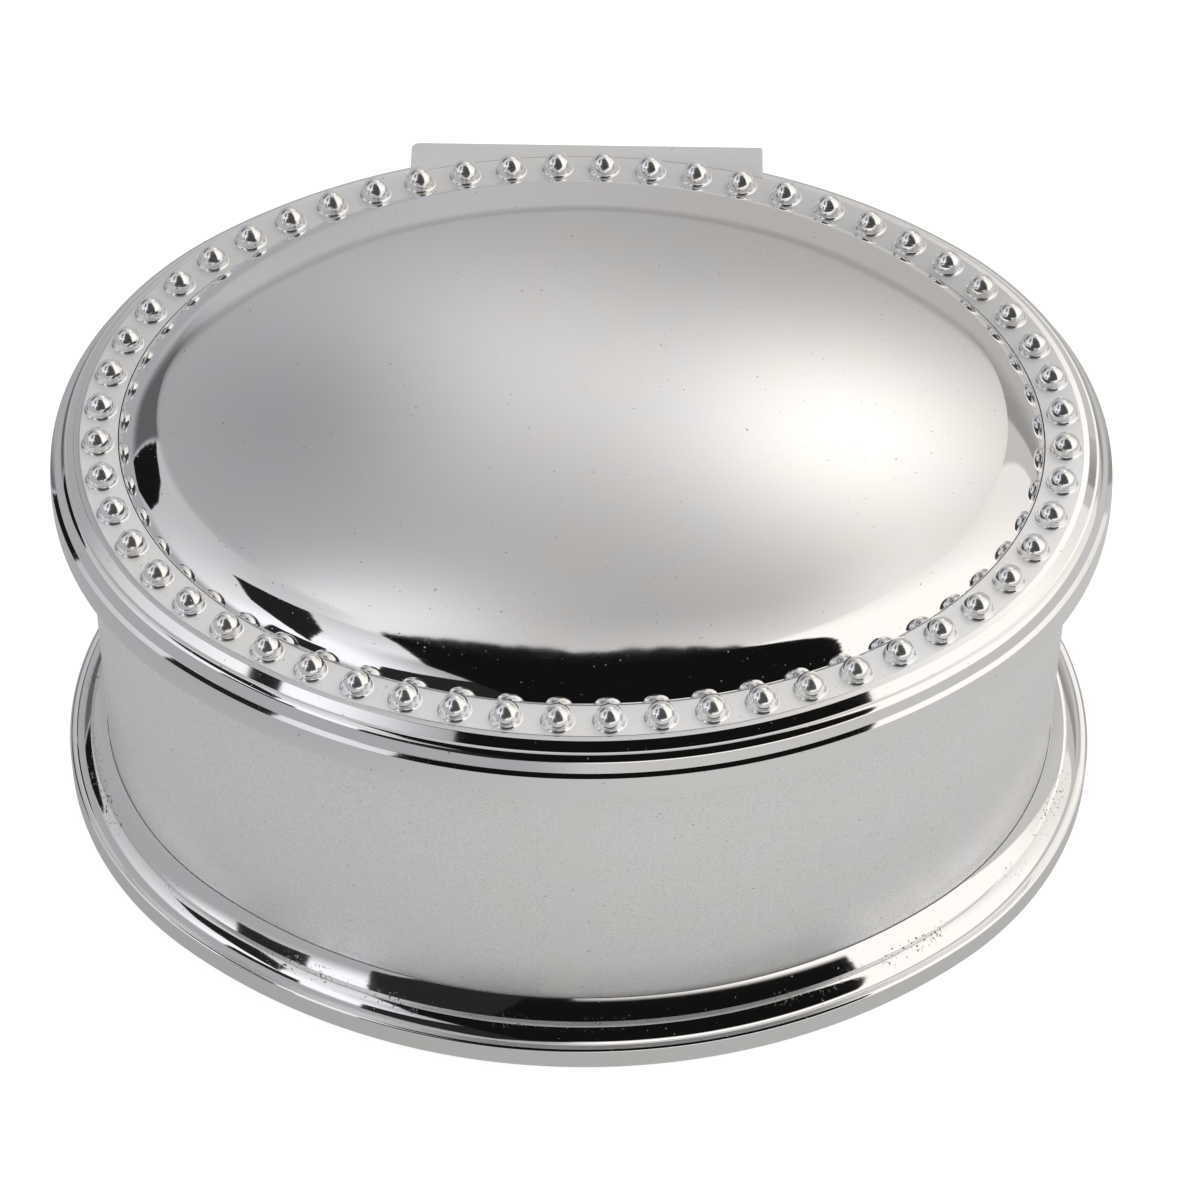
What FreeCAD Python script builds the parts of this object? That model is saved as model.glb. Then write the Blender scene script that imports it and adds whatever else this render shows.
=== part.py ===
import FreeCAD, Part
import math
import os

import Sketcher
from FreeCAD import Placement, Rotation, Vector

# Oval trinket box in polished silver plate, with a hinged lid and a border of beads.
# Millimetres, +Z up. The origin is on the table under the middle of the box,
# +X runs along the length and the hinge is at the back, towards +Y.
# Plan sizes are offsets from the bead line: an oval of four arcs, so that every
# moulding, wall and lining is a true parallel of it.

SIZES = [
    ("half_length", 40.0, "bead line, half its length"),
    ("half_width", 32.2, "bead line, half its width"),
    ("end_easing", 4.45, "bead line, half width less the radius of the end arcs"),
    ("bead_count", 56, "beads round the lid"),
    ("bead_radius", 1.15, "one bead"),
    ("bead_lift", 0.4, "bead centre above the track"),
    ("foot_offset", 4.9, "foot, outer face"),
    ("foot_height", 4.95, "foot, top of the collar"),
    ("plinth_height", 1.9, "foot, upright edge"),
    ("plinth_round", 0.3, "foot, rounding above the upright edge"),
    ("ledge_width", 0.3, "foot, flat ledge inside the rounding"),
    ("ovolo_width", 1.6, "foot, ovolo across"),
    ("ovolo_height", 1.15, "foot, ovolo rise"),
    ("ovolo_radius", 1.85, "foot, ovolo arc"),
    ("collar_land", 0.05, "foot, top land round the wall"),
    ("collar_radius", 12.0, "foot, slightly hollow arc of the collar"),
    ("solder_gap", 0.05, "soldered seams"),
    ("wall_offset", 1.4, "wall, outer face"),
    ("wall_thickness", 0.8, "wall"),
    ("wall_top", 35.3, "wall, top edge above the table"),
    ("felt_recess", 0.3, "felt above the table"),
    ("felt_thickness", 0.8, "felt under the base"),
    ("felt_inset", 0.3, "felt edge inside the wall's outer face"),
    ("base_thickness", 1.0, "base plate"),
    ("lid_gap", 0.1, "closed lid above the wall"),
    ("rim_height", 2.7, "lid rim, underside to track"),
    ("track_inside", 1.65, "bead track, bead line to inner edge"),
    ("track_outside", 1.5, "bead track, bead line to outer edge"),
    ("track_thickness", 1.0, "bead track plate"),
    ("hairline", 0.06, "step from the track down to the lip"),
    ("lip_width", 0.5, "lid rim, flat lip"),
    ("chamfer", 0.63, "lid rim, slope below the lip, across and down"),
    ("shelf_width", 0.14, "lid rim, flat below the slope"),
    ("shelf_round", 0.54, "lid rim, rounding below the flat"),
    ("step_height", 0.45, "lid rim, upright below the rounding"),
    ("step_width", 0.37, "lid rim, flat above the skirt"),
    ("skirt_round", 0.49, "lid skirt, rounding at its top"),
    ("skirt_thickness", 1.0, "lid skirt"),
    ("skirt_drop", 1.9, "lid skirt, below the underside of the rim"),
    ("dome_rise", 5.9, "dome above the track"),
    ("dome_thickness", 0.7, "dome sheet"),
    ("roll_width", 2.6, "dome edge, rolled part across"),
    ("roll_rise", 2.0, "dome edge, rolled part up"),
    ("roll_radius", 4.34, "dome edge, rolled arc"),
    ("dome_gap", 0.05, "dome skirt in the lid rim"),
    ("hinge_half_width", 15.4, "hinge plates, half their width"),
    ("hinge_reach", 3.0, "hinge plates, bead line to back face"),
    ("hinge_corner", 0.7, "hinge plates, rounded back corners"),
    ("hinge_inset", 0.6, "hinge axis inside the back face"),
    ("bearer_height", 3.8, "lower hinge plate"),
    ("bearer_slope", 1.8, "lower hinge plate, sloping underside"),
    ("knuckle_radius", 0.9, "hinge knuckles"),
    ("knuckle_gap", 0.1, "between neighbouring knuckles"),
    ("groove_gap", 0.05, "knuckles in their groove"),
    ("pin_radius", 0.45, "hinge pin"),
    ("pin_fixed_gap", 0.01, "pin in the fixed knuckles"),
    ("pin_running_gap", 0.03, "pin in the turning knuckles"),
    ("card_thickness", 0.5, "wall lining card"),
    ("velvet_thickness", 0.7, "velvet"),
    ("glue_gap", 0.1, "glued linings"),
    ("lining_drop", 0.8, "wall lining below the top edge"),
    ("velvet_turnover", 0.2, "velvet above the edge of its card"),
    ("board_thickness", 0.9, "lining boards of the floor and the lid"),
    ("pad_clearance", 0.3, "pads inside what surrounds them"),
    ("floor_edge", 1.4, "floor padding, height at its edge"),
    ("floor_crown", 0.8, "floor padding, crown"),
    ("lid_pad_edge", 0.1, "lid padding, height at its edge"),
    ("lid_pad_crown", 0.6, "lid padding, crown"),
]

KNUCKLES = 5
BEAD_STEPS = 20
BEAD_START = 12

doc = FreeCAD.newDocument("oval_trinket_box")
sheet = doc.addObject("Spreadsheet::Sheet", "sizes")
for row, (alias, number, note) in enumerate(SIZES, 1):
    sheet.set("A%d" % row, note)
    sheet.set("B%d" % row, str(number))
    sheet.setAlias("B%d" % row, alias)
doc.recompute()

# Places that several pieces share, written as expressions on the sheet
END_RADIUS = "(sizes.half_width - sizes.end_easing)"
WALL_INSIDE = "(sizes.wall_offset - sizes.wall_thickness)"
BASE = "(sizes.felt_recess + sizes.felt_thickness)"
FLOOR = "(%s + sizes.base_thickness)" % BASE
LID = "(sizes.wall_top + sizes.lid_gap)"
TRACK = "(%s + sizes.rim_height)" % LID
TRACK_UNDER = "(%s - sizes.track_thickness)" % TRACK
LINING_TOP = "(sizes.wall_top - sizes.lining_drop)"
CARD_INSIDE = "(%s - sizes.glue_gap - sizes.card_thickness)" % WALL_INSIDE
VELVET_OUTSIDE = "(%s - sizes.glue_gap)" % CARD_INSIDE
VELVET_INSIDE = "(%s - sizes.velvet_thickness)" % VELVET_OUTSIDE
HINGE_BACK = "(sizes.half_width + sizes.hinge_reach)"
HINGE_Y = "(%s - sizes.hinge_inset)" % HINGE_BACK
HINGE_Z = "(sizes.wall_top + sizes.lid_gap / 2)"

UPRIGHT = Placement(Vector(0, 0, 0), Rotation(Vector(1, 0, 0), 90))
SIDEWAYS = Placement(Vector(0, 0, 0), Rotation(Vector(1, 1, 1), 120))
FLAT = Placement()
HORIZONTAL_AXIS, VERTICAL_AXIS = range(-1, -3, -1)
START, END, CENTRE = range(1, 4)
ORIGIN_POINT = (HORIZONTAL_AXIS, START)


def value(expression):
    """The number that an expression on the sheet gives now."""
    return float(sheet.evalExpression(expression))


def drive(sketch, kind, *details):
    """Add a constraint whose size is the expression at the end of details."""
    *where, expression = details
    index = sketch.addConstraint(Sketcher.Constraint(kind, *where, value(expression)))
    sketch.setExpression("Constraints[%d]" % index, expression)


def arc_between(start, end, radius, side):
    """Arc of under a half circle; side +1 bulges to the left of the way from start to end."""
    chord = end - start
    left = Vector(-chord.y, chord.x, 0).normalize()
    height = radius - math.sqrt(radius ** 2 - (chord.Length / 2) ** 2)
    return Part.Arc(start, (start + end) / 2 + left * height * side, end)


def outline(name, placement, corners):
    """Closed sketch through corners (across, up, radius, side); radius and side make an arc to the next."""
    sketch = doc.addObject("Sketcher::SketchObject", name)
    sketch.Placement = placement
    points = [Vector(value(corner[0]), value(corner[1]), 0) for corner in corners]
    ends = []
    for number, corner in enumerate(corners):
        start = points[number]
        end = points[(number + 1) % len(points)]
        if len(corner) == 4:
            edge = sketch.addGeometry(arc_between(start, end, value(corner[2]), corner[3]))
            drive(sketch, "Radius", edge, corner[2])
        else:
            edge = sketch.addGeometry(Part.LineSegment(start, end))
        drawn_from = sketch.getPoint(edge, START)
        forward = drawn_from.distanceToPoint(start) < drawn_from.distanceToPoint(end)
        ends.append((edge, START, END) if forward else (edge, END, START))
    for number, corner in enumerate(corners):
        edge, first = ends[number][:2]
        before, _, last = ends[number - 1]
        sketch.addConstraint(Sketcher.Constraint("Coincident", before, last, edge, first))
        if corner[0] == "0":
            sketch.addConstraint(Sketcher.Constraint("PointOnObject", edge, first, VERTICAL_AXIS))
        else:
            drive(sketch, "DistanceX", *ORIGIN_POINT, edge, first, corner[0])
        drive(sketch, "DistanceY", *ORIGIN_POINT, edge, first, corner[1])
    return sketch


def oval(name, offset, bottom="0"):
    """Sketch of the four-arc oval that lies offset outside the bead line."""
    sketch = doc.addObject("Sketcher::SketchObject", name)
    sketch.setExpression("Placement.Base.z", bottom)
    end_x = "(sizes.half_length - %s)" % END_RADIUS
    side_y = "((%s^2 - sizes.end_easing^2) / (2 * sizes.end_easing))" % end_x
    end_radius = "(%s + %s)" % (END_RADIUS, offset)
    across = value(end_x)
    drop = value(side_y)
    end = value(end_radius)
    side = end + math.hypot(across, drop)
    turn = math.atan2(drop, across)
    centres = [Vector(across, 0, 0), Vector(0, -drop, 0), Vector(-across, 0, 0), Vector(0, drop, 0)]
    radii = [end, side, end, side]
    turns = [-turn, turn, math.pi - turn, math.pi + turn, 2 * math.pi - turn]
    for number in range(4):
        circle = Part.Circle(centres[number], Vector(0, 0, 1), radii[number])
        sketch.addGeometry(Part.ArcOfCircle(circle, turns[number], turns[number + 1]))
    for number in range(4):
        following = (number + 1) % 4
        sketch.addConstraint(Sketcher.Constraint("Tangent", number, END, following, START))
    for number, axis in ((0, HORIZONTAL_AXIS), (1, VERTICAL_AXIS), (3, VERTICAL_AXIS)):
        sketch.addConstraint(Sketcher.Constraint("PointOnObject", number, CENTRE, axis))
    drive(sketch, "Radius", 0, end_radius)
    drive(sketch, "DistanceX", *ORIGIN_POINT, 0, CENTRE, end_x)
    drive(sketch, "DistanceX", 2, CENTRE, *ORIGIN_POINT, end_x)
    drive(sketch, "DistanceY", 1, CENTRE, *ORIGIN_POINT, side_y)
    drive(sketch, "DistanceY", *ORIGIN_POINT, 3, CENTRE, side_y)
    return sketch


def rise(name, sketch, height):
    """Solid that carries a flat sketch straight up."""
    solid = doc.addObject("Part::Extrusion", name)
    solid.Base = sketch
    solid.DirMode = "Custom"
    solid.Dir = Vector(0, 0, 1)
    solid.Solid = True
    solid.setExpression("LengthFwd", height)
    return solid


def oval_block(name, offset, bottom, height):
    return rise(name, oval(name + "_oval", offset, bottom), height)


def cut(name, base, tool):
    solid = doc.addObject("Part::Cut", name)
    solid.Base = base
    solid.Tool = tool
    return solid


def oval_ring(name, outside, inside, bottom, height):
    outer = oval_block(name + "_outside", outside, bottom, height)
    inner = oval_block(name + "_inside", inside, bottom, height)
    return cut(name, outer, inner)


def moulding(name, corners):
    """Profile of (offset, up) corners carried all the way round the bead line."""
    placed = [("(sizes.half_length + %s)" % corner[0],) + corner[1:] for corner in corners]
    solid = doc.addObject("Part::Sweep", name)
    solid.Sections = [outline(name + "_profile", UPRIGHT, placed)]
    solid.Spine = (bead_line, ["Edge%d" % number for number in (1, 2, 3, 4)])
    solid.Solid = True
    solid.Frenet = False
    return solid


def turned(name, corners):
    """Profile of (across, up) corners turned about the middle of the box."""
    solid = doc.addObject("Part::Revolution", name)
    solid.Source = outline(name + "_profile", UPRIGHT, corners)
    solid.Axis = Vector(0, 0, 1)
    solid.Angle = 360
    solid.Solid = True
    return solid


def stretched(name, round_solid, offset):
    """Round solid of radius half_width + offset, drawn out to the length of the box."""
    solid = doc.addObject("Part::Scale", name)
    solid.Base = round_solid
    solid.Uniform = False
    solid.YScale = 1
    solid.ZScale = 1
    solid.setExpression("XScale", "(sizes.half_length + %s) / (sizes.half_width + %s)" % (offset, offset))
    return solid


def crowned(name, offset, base, edge, crown, way):
    """Round pad with an upright edge and a crowned face; way is + or -."""
    radius = "(sizes.half_width + %s)" % offset
    shoulder = "(%s %s %s)" % (base, way, edge)
    top = "(%s %s %s)" % (shoulder, way, crown)
    bow = "((%s^2 + %s^2) / (2 * %s))" % (radius, crown, crown)
    side = 1 if way == "+" else -1
    corners = [("0", base), (radius, base), (radius, shoulder, bow, -side), ("0", top)]
    return turned(name, corners)


def tube(name, bottom, length, outer, inner):
    """Round tube along the hinge axis, from bottom towards +X."""
    pieces = []
    for suffix, radius in (("_outside", outer), ("_bore", inner)):
        rod = doc.addObject("Part::Cylinder", name + suffix)
        rod.Placement = Placement(Vector(0, 0, 0), Rotation(Vector(0, 1, 0), 90))
        rod.setExpression("Radius", radius)
        rod.setExpression("Height", length)
        rod.setExpression("Placement.Base.x", bottom)
        rod.setExpression("Placement.Base.y", HINGE_Y)
        rod.setExpression("Placement.Base.z", HINGE_Z)
        pieces.append(rod)
    return cut(name, *pieces)


bead_line = oval("bead_line", "0")
doc.recompute()

# Foot: plinth, rounding, ledge, ovolo and sloping collar, one ring round the wall
foot_bore = "(sizes.wall_offset + sizes.solder_gap)"
round_inside = "(sizes.foot_offset - sizes.plinth_round)"
ledge_inside = "(%s - sizes.ledge_width)" % round_inside
ovolo_inside = "(%s - sizes.ovolo_width)" % ledge_inside
ledge_up = "(sizes.plinth_height + sizes.plinth_round)"
ovolo_up = "(%s + sizes.ovolo_height)" % ledge_up
collar_top = "(%s + sizes.collar_land)" % foot_bore
foot_moulding = moulding("foot_moulding", [
    (foot_bore, "0"),
    ("sizes.foot_offset", "0"),
    ("sizes.foot_offset", "sizes.plinth_height", "sizes.plinth_round", -1),
    (round_inside, ledge_up),
    (ledge_inside, ledge_up, "sizes.ovolo_radius", -1),
    (ovolo_inside, ovolo_up, "sizes.collar_radius", 1),
    (collar_top, "sizes.foot_height"),
    (foot_bore, "sizes.foot_height"),
])

# Base: felt under a plate that is soldered inside the wall
base_felt = oval_block("base_felt", "(sizes.wall_offset - sizes.felt_inset)", "sizes.felt_recess",
                       "sizes.felt_thickness")
base_plate = oval_block("base_plate", "(%s - sizes.solder_gap)" % WALL_INSIDE, BASE, "sizes.base_thickness")

# Hinge groove, shared by everything that the knuckles lie in
groove = doc.addObject("Part::Cylinder", "hinge_groove")
groove.Placement = Placement(Vector(0, 0, 0), Rotation(Vector(0, 1, 0), 90))
groove.setExpression("Radius", "sizes.knuckle_radius + sizes.groove_gap")
groove.setExpression("Height", "2 * sizes.hinge_half_width")
groove.setExpression("Placement.Base.x", "-sizes.hinge_half_width")
groove.setExpression("Placement.Base.y", HINGE_Y)
groove.setExpression("Placement.Base.z", HINGE_Z)

# Wall: a plain oval tube, let back for the hinge groove should a thicker wall reach it
wall_height = "(sizes.wall_top - %s)" % BASE
wall_tube = oval_ring("wall_tube", "sizes.wall_offset", WALL_INSIDE, BASE, wall_height)
body_wall = cut("body_wall", wall_tube, groove)

# Lid rim: bead track, lip, slope, rounding, step and upright skirt, open in the middle for the dome
lip_up = "(%s - sizes.hairline)" % TRACK
lip_outside = "(sizes.track_outside + sizes.lip_width)"
slope_outside = "(%s + sizes.chamfer)" % lip_outside
shelf_up = "(%s - sizes.chamfer)" % lip_up
shelf_outside = "(%s + sizes.shelf_width)" % slope_outside
step_inside = "(%s + sizes.shelf_round)" % shelf_outside
step_top = "(%s - sizes.shelf_round)" % shelf_up
step_up = "(%s - sizes.step_height)" % step_top
step_outside = "(%s + sizes.step_width)" % step_inside
skirt_outside = "(%s + sizes.skirt_round)" % step_outside
skirt_inside = "(%s - sizes.skirt_thickness)" % skirt_outside
skirt_bottom = "(%s - sizes.skirt_drop)" % LID
dome_opening = "(0 - sizes.track_inside)"
rim_spare = "(%s - sizes.track_thickness)" % dome_opening
rim_ring = moulding("rim_ring", [
    (WALL_INSIDE, LID),
    (skirt_inside, LID),
    (skirt_inside, skirt_bottom),
    (skirt_outside, skirt_bottom),
    (skirt_outside, "(%s - sizes.skirt_round)" % step_up, "sizes.skirt_round", -1),
    (step_outside, step_up),
    (step_inside, step_up),
    (step_inside, step_top, "sizes.shelf_round", -1),
    (shelf_outside, shelf_up),
    (slope_outside, shelf_up),
    (lip_outside, lip_up),
    ("sizes.track_outside", lip_up),
    ("sizes.track_outside", TRACK),
    (rim_spare, TRACK),
    (rim_spare, TRACK_UNDER),
    (WALL_INSIDE, TRACK_UNDER),
])
opening_line = doc.addObject("Part::Ellipse", "dome_opening_line")
opening_line.setExpression("MajorRadius", "sizes.half_length - sizes.track_inside")
opening_line.setExpression("MinorRadius", "sizes.half_width - sizes.track_inside")
opening_line.setExpression("Placement.Base.z", LID)
opening = rise("dome_opening", opening_line, "2 * sizes.rim_height")
open_rim = cut("open_rim", rim_ring, opening)


def hinge_block(name, front_offset, bottom, height):
    """Plate from an oval line back to the hinge's rear face, with rounded back corners."""
    right = "sizes.hinge_half_width"
    left = "(0 - sizes.hinge_half_width)"
    right_in = "(%s - sizes.hinge_corner)" % right
    left_in = "(%s + sizes.hinge_corner)" % left
    corner_y = "(%s - sizes.hinge_corner)" % HINGE_BACK
    front = "(sizes.half_width / 2)"
    plan = outline(name + "_plan", FLAT, [
        (left, front),
        (right, front),
        (right, corner_y, "sizes.hinge_corner", -1),
        (right_in, HINGE_BACK),
        (left_in, HINGE_BACK, "sizes.hinge_corner", -1),
        (left, corner_y),
    ])
    plan.setExpression("Placement.Base.z", bottom)
    slab = rise(name + "_slab", plan, height)
    inside = oval_block(name + "_front", front_offset, bottom, height)
    return cut(name + "_block", slab, inside)


# Lid hinge plate: fills the rim's cut-away back, flush with the bead track
notch_sides = doc.addObject("Part::Box", "rim_notch_box")
notch_sides.setExpression("Length", "2 * (sizes.hinge_half_width + sizes.solder_gap)")
notch_sides.setExpression("Width", "sizes.half_width")
notch_sides.setExpression("Height", "sizes.rim_height + sizes.skirt_drop")
notch_sides.setExpression("Placement.Base.x", "-(sizes.hinge_half_width + sizes.solder_gap)")
notch_sides.setExpression("Placement.Base.y", "sizes.half_width / 2")
notch_sides.setExpression("Placement.Base.z", skirt_bottom)
notch_front = oval_block("rim_notch_front", "sizes.track_outside", skirt_bottom,
                         "(sizes.rim_height + sizes.skirt_drop)")
rim_notch = cut("rim_cut_away", notch_sides, notch_front)
lid_frame = cut("lid_frame", open_rim, rim_notch)
lid_plate = hinge_block("lid_plate", "(sizes.track_outside + sizes.solder_gap)", LID, "sizes.rim_height")
lid_hinge_plate = cut("lid_hinge_plate", lid_plate, groove)

# Lower hinge plate: soldered to the back of the wall, its underside sloping in
bearer_bottom = "(sizes.wall_top - sizes.bearer_height)"
bearer_plate = hinge_block("bearer", foot_bore, bearer_bottom, "sizes.bearer_height")
slope_up = "(%s + sizes.bearer_slope)" % bearer_bottom
slope_tool_sketch = outline("bearer_slope_profile", SIDEWAYS, [
    ("(sizes.half_width + sizes.wall_offset)", bearer_bottom),
    ("(%s + sizes.bearer_slope)" % HINGE_BACK, bearer_bottom),
    ("(%s + sizes.bearer_slope)" % HINGE_BACK, slope_up),
    (HINGE_BACK, slope_up),
])
slope_tool = doc.addObject("Part::Extrusion", "bearer_slope_tool")
slope_tool.Base = slope_tool_sketch
slope_tool.DirMode = "Custom"
slope_tool.Dir = Vector(1, 0, 0)
slope_tool.Solid = True
slope_tool.Symmetric = True
slope_tool.setExpression("LengthFwd", "4 * sizes.hinge_half_width")
sloped_bearer = cut("sloped_bearer", bearer_plate, slope_tool)
base_hinge_bearer = cut("base_hinge_bearer", sloped_bearer, groove)

# Knuckles in turn along the pin: three on the box, two on the lid between them
knuckle_step = "(2 * sizes.hinge_half_width / %d)" % KNUCKLES
knuckle_length = "(%s - sizes.knuckle_gap)" % knuckle_step
knuckle_names = ["base_knuckle_left", "lid_knuckle_left", "base_knuckle_centre",
                 "lid_knuckle_right", "base_knuckle_right"]
knuckles = []
for place, knuckle_name in enumerate(knuckle_names):
    knuckle_start = "(%d * %s + sizes.knuckle_gap / 2 - sizes.hinge_half_width)" % (place, knuckle_step)
    bore_gap = "sizes.pin_running_gap" if knuckle_name.startswith("lid") else "sizes.pin_fixed_gap"
    bore = "(sizes.pin_radius + %s)" % bore_gap
    knuckles.append(tube(knuckle_name, knuckle_start, knuckle_length, "sizes.knuckle_radius", bore))
hinge_pin = doc.addObject("Part::Cylinder", "hinge_pin")
hinge_pin.Placement = groove.Placement
hinge_pin.setExpression("Radius", "sizes.pin_radius")
hinge_pin.setExpression("Height", "2 * sizes.hinge_half_width - sizes.knuckle_gap")
hinge_pin.setExpression("Placement.Base.x", "sizes.knuckle_gap / 2 - sizes.hinge_half_width")
hinge_pin.setExpression("Placement.Base.y", HINGE_Y)
hinge_pin.setExpression("Placement.Base.z", HINGE_Z)

# Dome: thin sheet with an upright skirt, a rolled edge and a shallow crown
dome_offset = "(0 - sizes.track_inside - sizes.dome_gap)"
dome_radius = "(sizes.half_width + %s)" % dome_offset
crown_radius = "(%s - sizes.roll_width)" % dome_radius
crown_up = "(%s + sizes.roll_rise)" % TRACK
crown_rise = "(sizes.dome_rise - sizes.roll_rise)"
crown_bow = "((%s^2 + %s^2) / (2 * %s))" % (crown_radius, crown_rise, crown_rise)
dome_solid = turned("dome_solid", [
    ("0", TRACK_UNDER),
    (dome_radius, TRACK_UNDER),
    (dome_radius, TRACK, "sizes.roll_radius", -1),
    (crown_radius, crown_up, crown_bow, -1),
    ("0", "(%s + sizes.dome_rise)" % TRACK),
])
inner_radius = "(%s - sizes.dome_thickness)" % dome_radius
inner_crown_radius = "(%s * (1 - sizes.dome_thickness / %s))" % (crown_radius, crown_bow)
inner_crown_up = "(%s + sizes.dome_rise - %s + (%s - %s) * (1 - sizes.dome_thickness / %s))" % (
    TRACK, crown_bow, crown_bow, crown_rise, crown_bow)
inner_bow = "(%s - sizes.dome_thickness)" % crown_bow
dome_hollow = turned("dome_hollow", [
    ("0", TRACK_UNDER),
    (inner_radius, TRACK_UNDER),
    (inner_radius, TRACK, "sizes.roll_radius", -1),
    (inner_crown_radius, inner_crown_up, inner_bow, -1),
    ("0", "(%s + sizes.dome_rise - sizes.dome_thickness)" % TRACK),
])
lid_dome = stretched("lid_dome", cut("dome_sheet", dome_solid, dome_hollow), dome_offset)

# Linings: a card and a velvet strip round the wall
strip_height = "(%s - %s)" % (LINING_TOP, FLOOR)
wall_lining_card = oval_ring("wall_lining_card", "(%s - sizes.glue_gap)" % WALL_INSIDE, CARD_INSIDE, FLOOR,
                             strip_height)
wall_lining_velvet = oval_ring("wall_lining_velvet", VELVET_OUTSIDE, VELVET_INSIDE, FLOOR,
                               "(%s + sizes.velvet_turnover)" % strip_height)


def covered_pad(name, offset, base, edge, crown, way):
    """Padding and its velvet cover, both crowned; the cover hides the padding's edge."""
    layer = "(sizes.velvet_thickness + sizes.glue_gap)"
    padding_offset = "(%s - %s)" % (offset, layer)
    hollow_offset = "(%s - sizes.velvet_thickness)" % offset
    padding = crowned(name + "_padding_round", padding_offset, base, edge, crown, way)
    hollow = crowned(name + "_hollow_round", hollow_offset, base, "(%s + sizes.glue_gap)" % edge, crown, way)
    cover = crowned(name + "_cover_round", offset, base, "(%s + %s)" % (edge, layer), crown, way)
    velvet = cut(name + "_velvet", stretched(name + "_cover", cover, offset),
                 stretched(name + "_hollow", hollow, hollow_offset))
    return stretched(name + "_padding", padding, padding_offset), velvet


# Floor and lid pads: a board, padding and velvet each
board_offset = "(%s - sizes.glue_gap)" % VELVET_INSIDE
floor_board = oval_block("floor_board", board_offset, FLOOR, "sizes.board_thickness")
floor_offset = "(%s - sizes.pad_clearance)" % VELVET_INSIDE
floor_base = "(%s + sizes.board_thickness)" % FLOOR
floor_padding, floor_velvet = covered_pad("floor", floor_offset, floor_base, "sizes.floor_edge",
                                          "sizes.floor_crown", "+")
lid_board_bottom = "(%s - sizes.board_thickness)" % TRACK_UNDER
lid_board = oval_block("lid_board", "(%s - sizes.glue_gap)" % WALL_INSIDE, lid_board_bottom,
                       "sizes.board_thickness")
lid_pad_offset = "(%s - sizes.pad_clearance)" % WALL_INSIDE
lid_padding, lid_velvet = covered_pad("lid", lid_pad_offset, lid_board_bottom, "sizes.lid_pad_edge",
                                      "sizes.lid_pad_crown", "-")
doc.recompute()

# Bead border: balls cut flat underneath, evenly spaced along the bead line
bead_total = int(value("sizes.bead_count"))
stations = bead_line.Shape.Wires[0].discretize(Number=bead_total * BEAD_STEPS + 1)
beads = []
for number in range(bead_total):
    station = stations[number * BEAD_STEPS + BEAD_START]
    bead = doc.addObject("Part::Sphere", "bead_%02d" % (number + 1))
    bead.Placement = Placement(station, Rotation())
    bead.setExpression("Radius", "sizes.bead_radius")
    bead.setExpression("Angle1", "-asin(sizes.bead_lift / sizes.bead_radius)")
    bead.setExpression("Placement.Base.z", "%s + sizes.bead_lift" % TRACK)
    beads.append(bead)
bead_border = doc.addObject("Part::Compound", "bead_border")
bead_border.Links = beads

NODES = [
    foot_moulding, base_felt, base_plate, body_wall, base_hinge_bearer, hinge_pin,
    wall_lining_card, wall_lining_velvet, floor_board, floor_padding, floor_velvet,
    lid_frame, bead_border, lid_dome, lid_hinge_plate, lid_board, lid_padding, lid_velvet,
] + knuckles

doc.recompute()
for thing in doc.Objects:
    if "Invalid" in thing.State or "Error" in thing.State:
        raise RuntimeError("%s did not compute: %s" % (thing.Name, thing.State))
os.makedirs("parts", exist_ok=True)
for node in NODES:
    if node.Shape.isNull() or not node.Shape.isValid():
        raise RuntimeError("%s has no valid shape" % node.Label)
    node.Shape.exportStep(os.path.join("parts", node.Label + ".step"))
    box = node.Shape.optimalBoundingBox(False)
    print("%-20s %d solids %9.2f mm3  x %6.2f..%6.2f  y %6.2f..%6.2f  z %6.2f..%6.2f" % (
        node.Label, len(node.Shape.Solids), node.Shape.Volume,
        box.XMin, box.XMax, box.YMin, box.YMax, box.ZMin, box.ZMax))
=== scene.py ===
# %% [markdown]
# Oval trinket box in polished silver plate.
# The box is a plain oval tube on a moulded foot, with a domed lid, a border of beads and a
# hinge at the back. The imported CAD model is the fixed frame: it says where every piece is.
# Blender adds what the solids can't show, the finish of the metal, the velvet and the light.

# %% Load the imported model
import math

import bmesh
import bpy
from mathutils import Matrix, Vector, noise


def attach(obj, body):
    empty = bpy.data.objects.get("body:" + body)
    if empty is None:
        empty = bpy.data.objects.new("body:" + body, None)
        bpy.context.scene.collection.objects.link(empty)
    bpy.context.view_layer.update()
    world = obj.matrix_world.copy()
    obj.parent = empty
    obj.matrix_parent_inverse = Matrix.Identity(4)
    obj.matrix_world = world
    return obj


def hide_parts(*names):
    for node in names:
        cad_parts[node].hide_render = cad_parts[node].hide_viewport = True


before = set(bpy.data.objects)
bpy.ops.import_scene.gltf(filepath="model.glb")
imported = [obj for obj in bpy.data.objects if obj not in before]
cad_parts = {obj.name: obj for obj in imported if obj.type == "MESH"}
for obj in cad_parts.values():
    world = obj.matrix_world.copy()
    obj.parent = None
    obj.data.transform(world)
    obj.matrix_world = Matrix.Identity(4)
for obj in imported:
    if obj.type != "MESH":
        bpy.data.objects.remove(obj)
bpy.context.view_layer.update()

MM = 0.001
scene = bpy.context.scene

# %% [markdown]
# The camera looks down at the lid from the front and leans a little to one side, as a hand-held
# camera does. A long lens keeps the oval nearly free of perspective, as in a product photograph.
# Setting it first means that every later piece can be judged in the final view.

# %% Camera
CAMERA_TILT = math.radians(47.2)
CAMERA_ROLL = math.radians(0.82)
CAMERA_DISTANCE = 388 * MM
CAMERA_LENS = 140.72
CAMERA_NEAR = 10 * MM
AIM = Vector((0, 0, 38.5 * MM))
AIM_LEFT = 1.49 * MM
AIM_ABOVE = 14.41 * MM


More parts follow.
